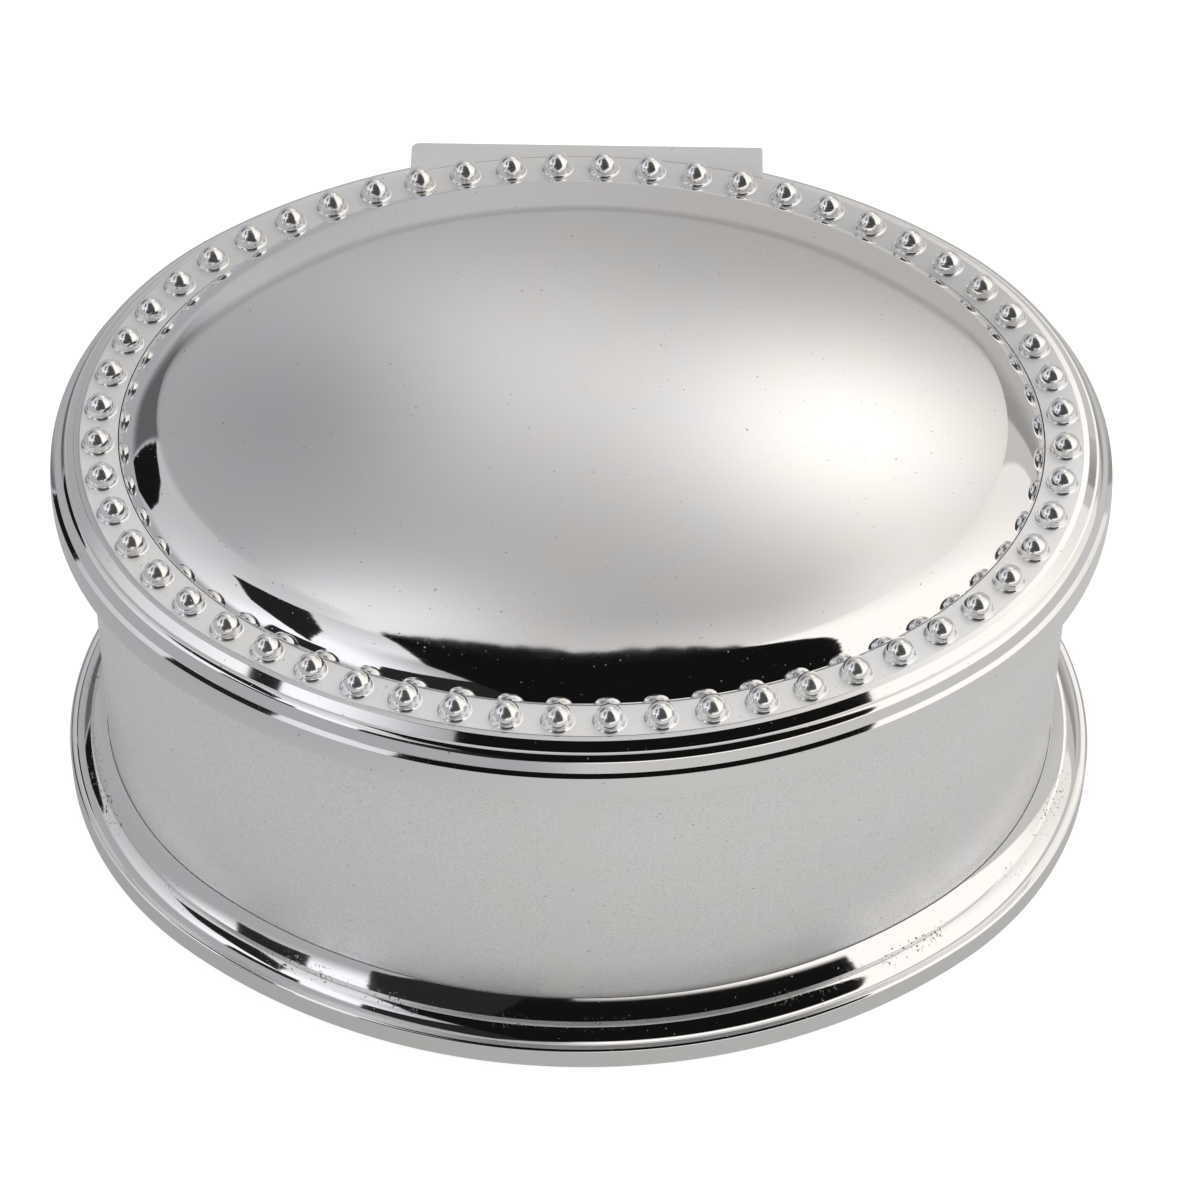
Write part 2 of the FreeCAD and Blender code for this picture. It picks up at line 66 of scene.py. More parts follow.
def linked(name, data):
    """New object for some data, in the scene."""
    made = bpy.data.objects.new(name, data)
    scene.collection.objects.link(made)
    return made


back = Vector((0, -math.cos(CAMERA_TILT), math.sin(CAMERA_TILT)))
level_up = Vector((0, math.sin(CAMERA_TILT), math.cos(CAMERA_TILT)))
right = Vector((1, 0, 0)) * math.cos(CAMERA_ROLL) + level_up * math.sin(CAMERA_ROLL)
up = back.cross(right)
camera_data = bpy.data.cameras.new("camera")
camera_data.lens = CAMERA_LENS
camera_data.clip_start = CAMERA_NEAR
camera = linked("camera", camera_data)
camera.matrix_world = Matrix((right, up, back)).transposed().to_4x4()
camera.location = AIM + back * CAMERA_DISTANCE + right * AIM_LEFT - up * AIM_ABOVE
scene.camera = camera
print("camera at", [round(x, 4) for x in camera.location])

# %% [markdown]
# Shapes and finishes are both node trees here, so both are written as Python expressions.
# A Wire is one output socket. Adding, multiplying or comparing Wires adds Math nodes, and
# every other node comes from the one method Nodes.add. The formulas stay readable that way.


# %% Node trees as expressions
class Nodes:
    """A node tree, and the one way to add a node to it."""

    def __init__(self, tree):
        self.tree = tree

    def add(self, kind, settings=None, sockets=None, out=0):
        """New node: its settings first, then a value or a Wire for each socket."""
        made = self.tree.nodes.new(kind)
        for name, setting in (settings or {}).items():
            setattr(made, name, setting)
        for name, given in (sockets or {}).items():
            if isinstance(given, Wire):
                self.tree.links.new(given.socket, made.inputs[name])
            else:
                made.inputs[name].default_value = given
        return Wire(self, made.outputs[out]) if made.outputs else None


class Wire:
    """An output socket; arithmetic on it adds Math nodes."""

    def __init__(self, nodes, socket):
        self.nodes = nodes
        self.socket = socket

    def math(self, operation, *others):
        """Math node with this wire first."""
        values = dict(enumerate((self, *others)))
        return self.nodes.add("ShaderNodeMath", {"operation": operation}, values)

    def flipped(self, operation, other):
        """Math node with this wire second, behind a number."""
        return self.nodes.add("ShaderNodeMath", {"operation": operation}, {0: other, 1: self})

    def output(self, name):
        """Another output of the same node."""
        return Wire(self.nodes, self.socket.node.outputs[name])

    def __add__(self, other):
        return self.math("ADD", other)

    def __sub__(self, other):
        return self.math("SUBTRACT", other)

    def __mul__(self, other):
        return self.math("MULTIPLY", other)

    def __truediv__(self, other):
        return self.math("DIVIDE", other)

    def __gt__(self, other):
        return self.math("GREATER_THAN", other)

    def __radd__(self, other):
        return self.flipped("ADD", other)

    def __rsub__(self, other):
        return self.flipped("SUBTRACT", other)

    def __rmul__(self, other):
        return self.flipped("MULTIPLY", other)

    def __rtruediv__(self, other):
        return self.flipped("DIVIDE", other)


def fade(value, low, high, at_low=0.0, at_high=1.0):
    """Smooth change of a value from at_low to at_high between low and high."""
    return value.nodes.add("ShaderNodeMapRange", {"interpolation_type": "SMOOTHSTEP"}, {
        "Value": value, "From Min": low, "From Max": high, "To Min": at_low, "To Max": at_high})


def mixed(factor, first, second):
    """Colour between first and second; a Mix node keeps its colours in sockets 6, 7 and 2."""
    return factor.nodes.add("ShaderNodeMix", {"data_type": "RGBA"}, {
        0: factor, 6: first, 7: second}, out=2)


def split(place):
    """The three coordinates of a place."""
    first = place.nodes.add("ShaderNodeSeparateXYZ", None, {0: place})
    return first, first.output("Y"), first.output("Z")


print("node helpers ready")

# %% [markdown]
# Every finish starts from the place on the piece, because a pattern in real sizes keeps its
# scale on any shape. Noise gives clouds and specks. The same noise, drawn out along one axis,
# gives scratches and fibres. A bump has its depth in metres, so it can be as shallow as real.


# %% Marks that finishes are made of
def new_finish(name):
    """Material with a Principled surface; gives the material, the surface and the place."""
    material = bpy.data.materials.new(name)
    material.use_nodes = True
    place = Nodes(material.node_tree).add("ShaderNodeTexCoord", out="Object")
    return material, material.node_tree.nodes["Principled BSDF"], place


def feed(surface, name, wire):
    """Lead a wire into a named socket of a surface."""
    wire.nodes.tree.links.new(wire.socket, surface.inputs[name])


def fix(surface, values):
    """Set sockets of a surface that are the same all over."""
    for name, value in values.items():
        surface.inputs[name].default_value = value


def cloud(place, size, detail=2.0, roughness=0.5):
    """Noise whose marks are about size across, in metres."""
    return place.nodes.add("ShaderNodeTexNoise", None, {
        "Vector": place, "Scale": 1 / size, "Detail": detail, "Roughness": roughness})


def strokes(place, width, stretch, turn=0.0, detail=1.0):
    """Noise of a width in metres that is drawn out by stretch and turned about the upright."""
    drawn_out = place.nodes.add("ShaderNodeMapping", None, {
        "Vector": place, "Rotation": (0, 0, turn), "Scale": stretch})
    return cloud(drawn_out, width, detail)


def bumped(height, depth, under=None):
    """Normal of a height that reaches from 0 to depth metres."""
    sockets = {"Height": height, "Distance": depth, "Strength": 1.0}
    if under is not None:
        sockets["Normal"] = under
    return height.nodes.add("ShaderNodeBump", None, sockets)


print("marks: clouds, strokes and bumps")

# %% [markdown]
# Polished silver plate is a mirror, so most of what the eye reads is what it mirrors. Still,
# the plate has its own marks: slow ripples from the polishing wheel, very fine wiping
# scratches, a faint warm or cool cast, and dust that gathers in the quirks of the mouldings.
# The ripples are a bump of a few micrometres, the scratches a stretched noise in the roughness.

# %% Silver
INK = (0.035, 0.03, 0.03, 1)
COOL, WARM = (0.985, 0.99, 1.0), (1.0, 0.988, 0.968)
RIPPLE_SIZE, GRAIN_SIZE, HAZE_SIZE, LINT_SIZE = 14 * MM, 0.22 * MM, 5 * MM, 0.35 * MM
WIPED_WIDTH, CROSSED_WIDTH = 0.16 * MM, 0.14 * MM
DUST_ROUGHNESS, LINT_ROUGHNESS = 0.5, 0.4
SATIN_ROUGHNESS, SATIN_BLOOM = 0.45, 0.32


def silver(name, tone, gloss, ripple, grain, dust_and_shade=None, satin=None, metal=1.0):
    """Plated silver; ripple and grain are bump depths; two masks of the place say where it is
    darkened and where it is satin.

    A metal below 1, or satin, leaves a share of matt bloom, as plating has that was never buffed.
    """
    material, surface, place = new_finish(name)
    wiped = strokes(place, WIPED_WIDTH, (1, 0.06, 1), 0.5)
    crossed = strokes(place, CROSSED_WIDTH, (0.05, 1, 1), 0.3)
    hairs = fade(wiped.math("MAXIMUM", crossed), 0.62, 0.8)
    haze = cloud(place, HAZE_SIZE, 3.0)
    lint = fade(cloud(place, LINT_SIZE), 0.735, 0.76)
    roughness = gloss + hairs * (0.5 * gloss) + fade(haze, 0.45, 0.8) * (0.4 * gloss)
    cool, warm = [[tone * share for share in cast] for cast in (COOL, WARM)]
    colour = mixed(fade(haze, 0.35, 0.65), (*cool, 1), (*warm, 1))
    fix(surface, {"Metallic": metal})
    if dust_and_shade is not None:
        # Specks of dust darken the colour towards ink; on the rim this mask also brings a painted
        # shade towards the hinge.
        specks = dust_and_shade(place)
        colour = mixed(specks, colour, INK)
        roughness = roughness + specks * DUST_ROUGHNESS
    if satin is not None:
        bloom = satin(place)
        roughness = roughness + bloom * SATIN_ROUGHNESS
        feed(surface, "Metallic", metal - bloom * SATIN_BLOOM)
    feed(surface, "Base Color", colour)
    feed(surface, "Roughness", roughness + lint * LINT_ROUGHNESS)
    slow = bumped(cloud(place, RIPPLE_SIZE, 1.0), ripple)
    feed(surface, "Normal", bumped(cloud(place, GRAIN_SIZE), grain, slow))
    return material


print("silver with its wiping marks, haze and lint")

# %% [markdown]
# No two parts of the box are finished alike. The dome, the mouldings and the foot are polished,
# the wall and the flat bead track are left satin. Dust lies thickest in the quirk of the foot, and
# towards the hinge the track and its tab are darkened by a painted shade. A mask says where each
# of these is, by the height or the place on the piece.

# %% Silver finishes
TRACK_HEIGHT = 38.1
QUIRK_STARTS, QUIRK_ENDS = (2.85 * MM, 3.2 * MM), (3.9 * MM, 3.45 * MM)
BACK_SHADE_LEFT, BACK_SHADE_RIGHT = 0.20, 0.29


def foot_dust(place):
    """Specks and short fibres that lie thickest along the foot's quirk, under the collar."""
    height = split(place)[2]
    quirk = fade(height, *QUIRK_STARTS) * fade(height, *QUIRK_ENDS)
    specks = fade(cloud(place, 0.3 * MM, 3.0), 0.62, 0.67)
    fibres = fade(strokes(place, 0.2 * MM, (1, 0.2, 1), 0.7, 2.0), 0.66, 0.7)
    patches = fade(cloud(place, 8 * MM, 1.0), 0.42, 0.58)
    return specks.math("MAXIMUM", fibres) * patches * (0.06 + 0.85 * quirk)


def wall_dust(place):
    """The satin of the wall is a fine grain, with a few pin-prick specks."""
    specks = fade(cloud(place, 0.45 * MM), 0.71, 0.76)
    grains = fade(cloud(place, 0.16 * MM, 1.0), 0.42, 0.72)
    return specks * 0.3 + grains * 0.14


def lid_dust(place):
    """A few fine specks, far apart."""
    return fade(cloud(place, 0.4 * MM), 0.735, 0.765) * 0.55


def track_satin(place):
    """The bead track and the hinge tab, the highest flats of the rim, are left satin."""
    return fade(split(place)[2], (TRACK_HEIGHT - 0.04) * MM, (TRACK_HEIGHT - 0.02) * MM)


def track_dust_and_shade(place):
    """A few fine specks, and a painted shade: towards the hinge, a little more so at the right, the
    satin is darker and duller.
    """
    x, y, _ = split(place)
    # Painted shade: towards the hinge the track and tab turn darker, a little more at the right.
    painted_back_shade = fade(y, -10 * MM, 20 * MM) * fade(x, -15 * MM, 33 * MM, BACK_SHADE_LEFT, BACK_SHADE_RIGHT)
    return lid_dust(place).math("MAXIMUM", painted_back_shade * track_satin(place))


silver_dome = silver("silver_dome", tone=0.93, gloss=0.035, ripple=8e-6, grain=0.15e-6,
                     dust_and_shade=lid_dust)
silver_rim = silver("silver_rim", tone=0.93, gloss=0.045, ripple=3e-6, grain=0.2e-6,
                    dust_and_shade=track_dust_and_shade, satin=track_satin)
silver_beads = silver("silver_beads", tone=0.95, gloss=0.15, ripple=0.5e-6, grain=0.1e-6,
                      metal=0.94)
silver_wall = silver("silver_wall", tone=0.79, gloss=0.28, ripple=4e-6, grain=3.5e-6,
                     dust_and_shade=wall_dust, metal=0.72)
silver_foot = silver("silver_foot", tone=0.93, gloss=0.045, ripple=4e-6, grain=0.25e-6,
                     dust_and_shade=foot_dust)
silver_hidden = silver("silver_hidden", tone=0.72, gloss=0.3, ripple=4e-6, grain=1.5e-6,
                       dust_and_shade=wall_dust)
print("silver finishes:", [m.name for m in bpy.data.materials if m.name.startswith("silver_")])

# %% [markdown]
# The inside isn't in the photograph. Boxes like this are lined in velvet over card, so the
# linings are a deep blue velvet. Velvet is short upright pile: dark seen straight on, paler at a
# glance, which the sheen of the surface gives, and brushed into slow patches, which is noise in
# the colour. The felt below and the cards behind are plain matt fibres.


# %% Velvet, felt, card and steel
def fibre(name, dark, pale, patch, pile, depth, sheen):
    """Matt fibres of a pile size, brushed into patches; depth is the bump of the pile."""
    material, surface, place = new_finish(name)
    brushed = cloud(place, patch, 3.0)
    hairs = cloud(place, pile, 2.0, 0.7)
    shade = brushed * 0.6 + hairs * 0.4
    feed(surface, "Base Color", mixed(fade(shade, 0.24, 0.76), (*dark, 1), (*pale, 1)))
    feed(surface, "Roughness", fade(hairs, 0.2, 0.8, 0.75, 0.98))
    feed(surface, "Normal", bumped(hairs, depth, bumped(brushed, 3 * depth)))
    fix(surface, {"Specular IOR Level": 0.15, "Sheen Weight": sheen, "Sheen Roughness": 0.35,
                  "Sheen Tint": (*(min(1.0, 4 * c) for c in pale), 1)})
    return material


velvet = fibre("velvet_blue", dark=(0.010, 0.018, 0.075), pale=(0.028, 0.050, 0.165),
               patch=7 * MM, pile=0.25 * MM, depth=0.09 * MM, sheen=0.8)
felt = fibre("felt_under_base", dark=(0.012, 0.016, 0.04), pale=(0.03, 0.038, 0.085),
             patch=4 * MM, pile=0.4 * MM, depth=0.14 * MM, sheen=0.25)
card = fibre("lining_card", dark=(0.42, 0.37, 0.29), pale=(0.58, 0.52, 0.43),
             patch=3 * MM, pile=0.3 * MM, depth=0.03 * MM, sheen=0.0)

STEEL_DARK, STEEL_PALE = (0.36, 0.36, 0.37, 1), (0.55, 0.55, 0.56, 1)
pin_steel, surface, place = new_finish("pin_steel")
drawn = strokes(place, 0.08 * MM, (0.03, 1, 1), detail=2.0)
feed(surface, "Base Color", mixed(drawn, STEEL_DARK, STEEL_PALE))
feed(surface, "Roughness", fade(drawn, 0.2, 0.8, 0.25, 0.45))
feed(surface, "Normal", bumped(drawn, 2e-6))
fix(surface, {"Metallic": 1.0})
print("fibres:", [finish.name for finish in (velvet, felt, card)], "and", pin_steel.name)

# %% [markdown]
# What repeats or follows a line is made by Geometry Nodes. Each tree has named inputs for its
# sizes and ends in real geometry with a material. It runs once on a start mesh, and the result
# is kept as a plain mesh, which is closed, turned outwards and shaded smooth between its edges.


# %% Shape trees
def shape_tree(name, sockets):
    """Empty Geometry Nodes tree with named inputs; gives its nodes and the input wires."""
    tree = bpy.data.node_groups.new(name, "GeometryNodeTree")
    for label, kind in [("Geometry", "NodeSocketGeometry"), *sockets]:
        tree.interface.new_socket(label, in_out="INPUT", socket_type=kind)
    tree.interface.new_socket("Geometry", in_out="OUTPUT", socket_type="NodeSocketGeometry")
    nodes = Nodes(tree)
    entry = nodes.add("NodeGroupInput").socket.node
    return nodes, {socket.name: Wire(nodes, socket) for socket in entry.outputs if socket.name}


def end_tree(nodes, shape, material):
    """Every tree ends the same way: real geometry, then its material; gives the tree."""
    real = nodes.add("GeometryNodeRealizeInstances", None, {0: shape})
    named = nodes.add("GeometryNodeSetMaterial", None, {"Geometry": real, "Material": material})
    nodes.add("NodeGroupOutput", None, {0: named})
    return nodes.tree


def carried(nodes, path, profile):
    """Profile mesh carried along a level path."""
    level = nodes.add("GeometryNodeSetCurveNormal", {"mode": "Z_UP"}, {0: path})
    curve = nodes.add("GeometryNodeMeshToCurve", None, {0: profile})
    return nodes.add("GeometryNodeCurveToMesh", None, {"Curve": level, "Profile Curve": curve})


def copies(nodes, size, places):
    """Copies of the start mesh, as many as the input Count says, each at its place."""
    seats = nodes.add("GeometryNodePoints", None, {"Count": size["Count"]})
    placed = nodes.add("GeometryNodeSetPosition", None, {"Geometry": seats, "Position": places})
    return nodes.add("GeometryNodeInstanceOnPoints", None, {
        "Points": placed, "Instance": size["Geometry"]})


def worked_out(piece):
    """Plain mesh of a piece with its modifiers worked out."""
    depsgraph = bpy.context.evaluated_depsgraph_get()
    return bpy.data.meshes.new_from_object(piece.evaluated_get(depsgraph))


def grown(name, tree, start, values):
    """Run a shape tree on a start mesh and keep the result as a plain mesh object."""
    grower = linked(name + "_start", start)
    modifier = grower.modifiers.new("shape", "NODES")
    modifier.node_group = tree
    for item in tree.interface.items_tree:
        if item.item_type == "SOCKET" and item.in_out == "INPUT" and item.name in values:
            modifier[item.identifier] = values[item.name]
    mesh = worked_out(grower)
    grower.modifiers.remove(modifier)
    bpy.data.objects.remove(grower)
    mesh.name = name
    return linked(name, mesh)


def finish_mesh(piece, crease=40):
    """Close doubles, point the faces out, shade smooth; edges above crease degrees stay sharp."""
    shell = bmesh.new()
    shell.from_mesh(piece.data)
    bmesh.ops.remove_doubles(shell, verts=shell.verts, dist=1e-7)
    bmesh.ops.recalc_face_normals(shell, faces=shell.faces)
    for face in shell.faces:
        face.smooth = True
    shell.to_mesh(piece.data)
    shell.free()
    piece.data.set_sharp_from_angle(angle=math.radians(crease))
    return piece


def report(piece):
    """Print a piece's triangles and its reach along each axis in millimetres."""
    piece.data.calc_loop_triangles()
    low = [min(v.co[i] for v in piece.data.vertices) / MM for i in range(3)]
    high = [max(v.co[i] for v in piece.data.vertices) / MM for i in range(3)]
    print("%-18s %6d triangles" % (piece.name, len(piece.data.loop_triangles)),
          ["%.2f..%.2f" % pair for pair in zip(low, high)])


print("shape tree helpers ready")

# %% [markdown]
# Everything round the box runs parallel to one line, the bead line. It is an oval of four arcs:
# two of a small radius at the ends, two of a large one at the sides. The formula below turns a
# length along the line into a place on it. It goes into a Geometry Nodes tree with the sizes as
# named inputs, because the mouldings and the beads both follow this line.

# %% The bead line
HALF_LENGTH, HALF_WIDTH, END_EASING = 40.0 * MM, 32.2 * MM, 4.45 * MM
LINE_SIZES = {"Half length": HALF_LENGTH, "Half width": HALF_WIDTH, "End easing": END_EASING}
LINE_SOCKETS = [(label, "NodeSocketFloat") for label in LINE_SIZES]


def line_place(size, steps_done, steps, height=0.0):
    """Place on the bead line after a share of its length, from the lower joint of the right end."""
    easing = size["End easing"]
    small = size["Half width"] - easing
    end_x = size["Half length"] - small
    side_y = (end_x * end_x - easing * easing) / (2 * easing)
    large = small + (end_x * end_x + side_y * side_y).math("SQRT")
    turn = side_y.math("ARCTAN2", end_x)
    end_run = small * turn
    side_run = large * (math.pi / 2 - turn)
    whole = 4 * (end_run + side_run)
    run = steps_done / steps * whole
    first = run.math("MINIMUM", 2 * end_run)
    second = (run - 2 * (end_run + side_run)).math("MAXIMUM", 0).math("MINIMUM", 2 * end_run)
    angle = run / large + (1 / small - 1 / large) * (first + second) - turn
    across, along = angle.math("COSINE"), angle.math("SINE")
    at_end = across.math("ABSOLUTE") > turn.math("COSINE") - 1e-6
    radius = large + at_end * (small - large)
    x = across * radius + at_end * across.math("SIGN") * end_x
    y = along * radius - (1 - at_end) * along.math("SIGN") * side_y
    return x.nodes.add("ShaderNodeCombineXYZ", None, {0: x, 1: y, 2: height})


print("bead line sizes:", LINE_SIZES)

# %% [markdown]
# A moulding is a profile carried along the line. Each profile is listed as corners, an offset
# from the bead line and a height in millimetres, with a radius and a side where an arc leads to
# the next corner. Curve to Mesh carries it round. Its profile axes are outwards and down, so the
# heights go in with their sign changed. Sharp corners get a tiny rounding: on polished metal
# that rounding is what shows as a bright line along an edge.

# %% Moulding tree and the foot
ROUND_STEPS = 600
EDGE_ROUND = 0.06
FOOT_PROFILE = [
    (1.45, 0.0), (4.9, 0.0), (4.9, 1.9, 0.3, -1), (4.6, 2.2), (4.3, 2.2, 1.85, -1),
    (2.7, 3.35, 10.0, 1), (1.5, 4.95), (1.45, 4.95)]

nodes, size = shape_tree("moulding_round_the_box", LINE_SOCKETS + [
    ("Steps", "NodeSocketInt"), ("Finish", "NodeSocketMaterial")])
ring = nodes.add("GeometryNodeCurvePrimitiveCircle", {"mode": "RADIUS"}, {
    "Resolution": size["Steps"]})
number = nodes.add("GeometryNodeInputIndex")
path = nodes.add("GeometryNodeSetPosition", None, {
    "Geometry": ring, "Position": line_place(size, number, size["Steps"])})
moulding_tree = end_tree(nodes, carried(nodes, path, size["Geometry"]), size["Finish"])


def arc(start, end, radius, side, steps=14):
    """Points after start up to end on an arc; side 1 bulges to the left of the way."""
    start, end = Vector(start), Vector(end)
    chord = end - start
    left = Vector((-chord.y, chord.x)).normalized()
    depth = math.sqrt(max(radius ** 2 - chord.length_squared / 4, 0))
    centre = (start + end) / 2 - left * side * depth
    sweep = (start - centre).angle_signed(end - centre)
    turns = [Matrix.Rotation(-sweep * step / steps, 2) for step in range(1, steps + 1)]
    return [tuple(turn @ (start - centre) + centre) for turn in turns]


def rounded(before, here, after, soft, steps=3):
    """Points of a small curve that takes off a corner."""
    reach = min(soft, (before - here).length / 3, (after - here).length / 3)
    first = here + (before - here).normalized() * reach
    last = here + (after - here).normalized() * reach
    shares = [step / steps for step in range(steps + 1)]
    return [tuple(first * (1 - s) ** 2 + here * 2 * s * (1 - s) + last * s ** 2) for s in shares]


def profile_points(corners, soft):
    """Closed loop of (offset, height) points from corners; plain corners are rounded by soft."""
    points = []
    for place, corner in enumerate(corners):
        before, after = corners[place - 1], corners[(place + 1) % len(corners)]
        came_by_arc, leaves_by_arc = len(before) > 2, len(corner) > 2
        if came_by_arc or leaves_by_arc:
            points.append(corner[:2])
        else:
            points += rounded(Vector(before[:2]), Vector(corner), Vector(after[:2]), soft)
        if leaves_by_arc:
            points += arc(corner[:2], after[:2], *corner[2:])[:-1]
    return points


def moulding(name, corners, finish, soft=EDGE_ROUND):
    """Piece that carries a profile round the box."""
    points = profile_points(corners, soft)
    count = len(points)
    start = bpy.data.meshes.new("profile")
    start.from_pydata([(offset * MM, -height * MM, 0) for offset, height in points],
                      [(i, (i + 1) % count) for i in range(count)], [])
    return finish_mesh(grown(name, moulding_tree, start, {
        **LINE_SIZES, "Steps": ROUND_STEPS, "Finish": finish}))


foot = moulding("foot_ring", FOOT_PROFILE, silver_foot)
report(foot)

# %% [markdown]
# The wall is a plain tube with a satin bloom, so it needs only four corners. The lid's rim
# carries the flat bead track, a hairline step, a lip, a slope, a rounding, a step and an
# upright skirt that hangs over the wall. The track's inner edge is a true ellipse, the seat of the
# dome, while everything outside it is parallel to the bead line, so the inner points are moved
# onto that ellipse after the sweep.

# %% Wall and lid rim
OPENING = (38.35, 30.55)
SEAT_REACH = 0.9
INNER_OFFSET = -1.65
TRACK_BOTTOM = 37.1
WALL_PROFILE = [(0.6, 1.1), (1.4, 1.1), (1.4, 35.3), (0.6, 35.3)]
RIM_PROFILE = [
    (0.6, 35.4), (3.17, 35.4), (3.17, 33.5), (4.15, 33.5, 12.0, -1), (4.05, 35.9), (3.68, 36.1),
    (3.38, 36.95, 0.75, -1), (2.66, 37.41), (2.63, 37.41), (2.0, 38.04), (1.5, 38.04),
    (1.5, TRACK_HEIGHT), (INNER_OFFSET, TRACK_HEIGHT), (INNER_OFFSET, TRACK_BOTTOM),
    (0.6, TRACK_BOTTOM)]

wall = moulding("wall_tube", WALL_PROFILE, silver_wall, soft=0.12)
report(wall)

rim = moulding("lid_rim", RIM_PROFILE, silver_rim, soft=0.03)
for vertex in rim.data.vertices:
    x, y, z = vertex.co / MM
    near_seat = math.hypot(x / (OPENING[0] + SEAT_REACH), y / (OPENING[1] + SEAT_REACH)) < 1
    if near_seat and z > TRACK_BOTTOM - 0.1:
        shrink = 1 / math.hypot(x / OPENING[0], y / OPENING[1])
        vertex.co.x *= shrink
        vertex.co.y *= shrink
report(rim)

# %% [markdown]
# At the back the rim is cut away for the hinge plate, and the hinge lies in a round groove.
# Both are cut with exact Booleans by closed tools, a block over a plan and a turned rod. The
# plans need the oval as plain points, so its arcs are worked out once more from the same sizes.

# %% Plans and tools
END_RADIUS = (HALF_WIDTH - END_EASING) / MM
END_X = HALF_LENGTH / MM - END_RADIUS
SIDE_Y = ((END_EASING / MM) ** 2 - END_X ** 2) / (2 * END_EASING / MM)
SIDE_RADIUS = END_RADIUS + math.hypot(END_X, SIDE_Y)
JOINT = math.atan2(-SIDE_Y, END_X)


def oval_plan(offset, steps=60):
    """Points of the oval that lies offset outside the bead line."""
    plan = []
    for x, y, radius, first, last in (
            (END_X, 0, END_RADIUS, -JOINT, JOINT),
            (0, SIDE_Y, SIDE_RADIUS, JOINT, math.pi - JOINT),
            (-END_X, 0, END_RADIUS, math.pi - JOINT, math.pi + JOINT),
            (0, -SIDE_Y, SIDE_RADIUS, math.pi + JOINT, 2 * math.pi - JOINT)):
        for step in range(steps):
            angle = first + (last - first) * step / steps
            reach = radius + offset
            plan.append((x + reach * math.cos(angle), y + reach * math.sin(angle)))
    return plan


def back_line(offset, half, steps=40):
    """Points along the back of that oval, from -half to half."""
    places = [half * (2 * step / steps - 1) for step in range(steps + 1)]
    return [(x, SIDE_Y + math.sqrt((SIDE_RADIUS + offset) ** 2 - x ** 2)) for x in places]


def mesh_of(name, shell):
    """Mesh of an edit mesh, which is freed."""
    mesh = bpy.data.meshes.new(name)
    shell.to_mesh(mesh)
    shell.free()
    return mesh


def plate_mesh(name, plan, bottom, top):
    """Upright block over a plan of (x, y) points in millimetres."""
    shell = bmesh.new()
    base = shell.faces.new([shell.verts.new(Vector((x, y, bottom)) * MM) for x, y in plan])
    lifted = bmesh.ops.extrude_face_region(shell, geom=[base])
    raised = [item for item in lifted["geom"] if isinstance(item, bmesh.types.BMVert)]
    bmesh.ops.translate(shell, verts=raised, vec=(0, 0, (top - bottom) * MM))
    bmesh.ops.recalc_face_normals(shell, faces=shell.faces)
    return mesh_of(name, shell)


def spun(name, outline, middle, axis, slices, hollow=False):
    """Solid turned from an outline about an axis; a hollow one's outline is closed first."""
    shell = bmesh.new()
    points = [shell.verts.new(point) for point in outline]
    lines = [shell.edges.new(pair) for pair in zip(points, points[1:])]
    if hollow:
        lines.append(shell.edges.new((points[-1], points[0])))
    bmesh.ops.spin(shell, geom=points + lines, cent=middle, axis=axis, angle=2 * math.pi,
                   steps=slices, use_merge=True)
    bmesh.ops.remove_doubles(shell, verts=shell.verts, dist=1e-7)
    bmesh.ops.recalc_face_normals(shell, faces=shell.faces)
    return mesh_of(name, shell)


print("oval: end radius %.3f mm, side radius %.3f mm" % (END_RADIUS, SIDE_RADIUS))

# %% [markdown]
# The notch is a block a little longer than the hinge plate, so that the plate has room at both
# ends. Its front follows the oval just outside the bead track, and its back runs clear of the rim.

# %% The rim's notch
HINGE = Vector((0, 34.6, 35.35)) * MM
HINGE_HALF = 15.4
HINGE_SLICES = 48
GROOVE_RADIUS = 0.95
NOTCH_HALF = HINGE_HALF + 0.05
NOTCH_OFFSET, NOTCH_BACK = 1.52, 45.0
NOTCH_BOTTOM, NOTCH_TOP = 33.0, 38.5


def carved(piece, tool_mesh):
    """Cut a closed tool mesh out of a piece with an exact Boolean, and keep a plain mesh."""
    tool = linked("carving_tool", tool_mesh)
    modifier = piece.modifiers.new("carve", "BOOLEAN")
    modifier.operation = "DIFFERENCE"
    modifier.solver = "EXACT"
    modifier.object = tool
    mesh = worked_out(piece)
    piece.modifiers.remove(modifier)
    finish = piece.data.materials[0]
    piece.data = mesh
    mesh.materials.clear()
    mesh.materials.append(finish)
    mesh.polygons.foreach_set("material_index", [0] * len(mesh.polygons))
    bpy.data.objects.remove(tool)
    return finish_mesh(piece)


def on_hinge(name, corners, hollow=False):
    """Solid turned about the hinge line; corners are (x, radius) in millimetres."""
    outline = [HINGE + Vector((x, 0, radius)) * MM for x, radius in corners]
    return spun(name, outline, HINGE, (1, 0, 0), HINGE_SLICES, hollow)


def groove_tool():
    """Rod that cuts the groove in which the knuckles turn."""
    return on_hinge("groove", [(-HINGE_HALF, 0), (-HINGE_HALF, GROOVE_RADIUS),
                               (HINGE_HALF, GROOVE_RADIUS), (HINGE_HALF, 0)])


notch_plan = back_line(NOTCH_OFFSET, NOTCH_HALF)
notch_plan += [(NOTCH_HALF, NOTCH_BACK), (-NOTCH_HALF, NOTCH_BACK)]
carved(rim, plate_mesh("notch", notch_plan, NOTCH_BOTTOM, NOTCH_TOP))
report(rim)

# %% [markdown]
# The dome is a thin sheet: an upright skirt in the rim, a rolled edge, then a shallow crown. It
# is a turned shape drawn out lengthways, so a second tree carries its section round a circle,
# closes the pole and stretches the result. The pads of the linings use the same tree.

# %% Dome
DOME_HALF_LENGTH, DOME_HALF_WIDTH = 38.3, 30.5
ROLL_INNER, ROLL_TOP, ROLL_RADIUS = 27.9, 40.1, 4.34
CROWN_RISE = 3.9
SHEET = 0.7
POLE = 0.3

